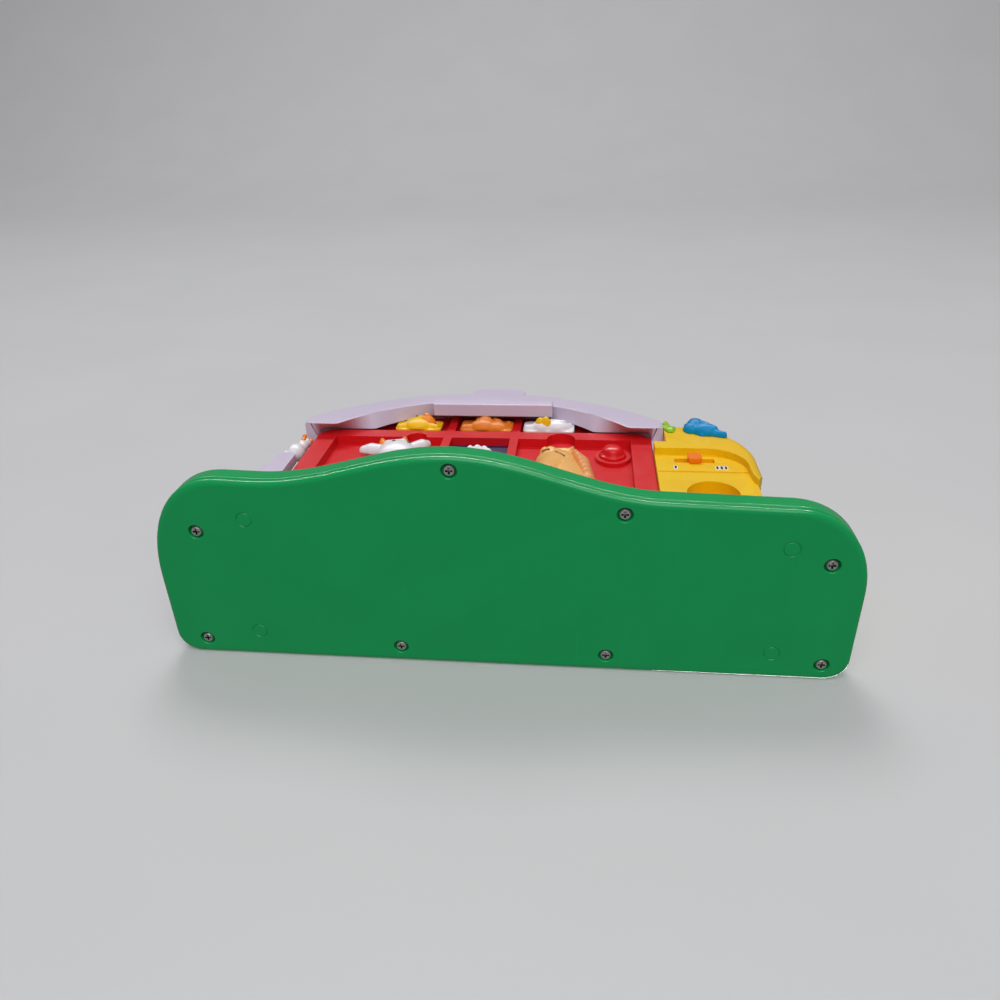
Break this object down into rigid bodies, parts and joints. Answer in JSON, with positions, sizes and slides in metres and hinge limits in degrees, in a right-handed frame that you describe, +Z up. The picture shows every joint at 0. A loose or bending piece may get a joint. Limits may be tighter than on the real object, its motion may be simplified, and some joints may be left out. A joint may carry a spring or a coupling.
{
  "type": "musical farm carry-along toy",
  "caption": "Free-standing musical farm toy: arched barn with push-button animals, domed silo with slide switch, picket fence and carry handle on a wavy base",
  "frame": {"origin": "Middle of the base's underside, below the middle of the overall box", "axes": "+X along the base's straight back edge, to the right seen from the front; +Y from the front to the back; +Z up"},
  "size_m": [0.298, 0.102, 0.212],
  "materials": {
    "green_plastic": "moulded gloss",
    "red_plastic": "moulded gloss",
    "lavender_plastic": "moulded gloss",
    "yellow_plastic": "moulded gloss",
    "orange_plastic": "moulded gloss",
    "blue_plastic": "moulded gloss",
    "lime_plastic": "moulded gloss",
    "white_plastic": "moulded gloss with painted details",
    "cat_orange_plastic": "moulded gloss with painted details",
    "tan_plastic": "moulded gloss with painted details",
    "navy_card": "matte card",
    "screw_steel": "zinc plated",
    "board_laminate": "solder mask",
    "black_plastic": "matte",
    "key_rubber": "silicone",
    "speaker_metal": "stamped and plated",
    "cell_wrap": "plain wrap",
    "contact_nickel": "nickel plated",
    "wire_insulation": "soft plastic"
  },
  "bodies": {
    "toy_body": {"base_bottom_plate": "green_plastic", "base_top_shell": "green_plastic", "base_screws": "screw_steel", "body_mount_screws": "screw_steel", "barn_front_frame": "red_plastic", "cell_card": "navy_card", "barn_back_shell": "lavender_plastic", "case_screws": "screw_steel", "roof_shell": "lavender_plastic", "carry_handle": "lavender_plastic", "handle_screws": "screw_steel", "circuit_board": "board_laminate", "board_parts": "black_plastic", "board_screws": "screw_steel", "key_domes": "key_rubber", "speaker_basket": "speaker_metal", "speaker_cone": "black_plastic", "speaker_magnet": "speaker_metal", "speaker_screws": "screw_steel", "aa_cells": "cell_wrap", "battery_contacts": "contact_nickel", "battery_door": "lavender_plastic", "battery_door_screw": "screw_steel", "silo_front_shell": "yellow_plastic", "silo_back_shell": "yellow_plastic", "silo_screws": "screw_steel", "silo_door_panel": "orange_plastic", "slide_switch": "black_plastic", "switch_screws": "screw_steel", "blue_bird": "blue_plastic", "leaf_sprig": "lime_plastic", "flower_bud": "orange_plastic", "picket_fence": "lavender_plastic", "hen": "white_plastic", "hen_comb": "orange_plastic", "wire_harness": "wire_insulation"},
    "chick_button_body": {"chick_button": "yellow_plastic"},
    "cat_button_body": {"cat_button": "cat_orange_plastic"},
    "duck_button_body": {"duck_button": "white_plastic"},
    "cow_button_body": {"cow_button": "white_plastic"},
    "sheep_button_body": {"sheep_button": "white_plastic"},
    "horse_button_body": {"horse_button": "tan_plastic"},
    "round_button_body": {"round_button": "red_plastic"},
    "slide_knob_body": {"slide_knob": "orange_plastic"}
  },
  "joints": [
    {"name": "chick_press", "type": "slide", "parent": "toy_body", "child": "chick_button_body", "axis": [0, 1, 0], "range_m": [0, 0.0025], "stiffness_N_per_m": 400},
    {"name": "cat_press", "type": "slide", "parent": "toy_body", "child": "cat_button_body", "axis": [0, 1, 0], "range_m": [0, 0.0025], "stiffness_N_per_m": 400},
    {"name": "duck_press", "type": "slide", "parent": "toy_body", "child": "duck_button_body", "axis": [0, 1, 0], "range_m": [0, 0.0025], "stiffness_N_per_m": 400},
    {"name": "cow_press", "type": "slide", "parent": "toy_body", "child": "cow_button_body", "axis": [0, 1, 0], "range_m": [0, 0.0025], "stiffness_N_per_m": 400},
    {"name": "sheep_press", "type": "slide", "parent": "toy_body", "child": "sheep_button_body", "axis": [0, 1, 0], "range_m": [0, 0.0025], "stiffness_N_per_m": 400},
    {"name": "horse_press", "type": "slide", "parent": "toy_body", "child": "horse_button_body", "axis": [0, 1, 0], "range_m": [0, 0.0025], "stiffness_N_per_m": 400},
    {"name": "round_press", "type": "slide", "parent": "toy_body", "child": "round_button_body", "axis": [0, 1, 0], "range_m": [0, 0.0025], "stiffness_N_per_m": 400},
    {"name": "slide_knob_travel", "type": "slide", "parent": "toy_body", "child": "slide_knob_body", "axis": [1, 0, 0], "range_m": [-0.006, 0.006]}
  ]
}
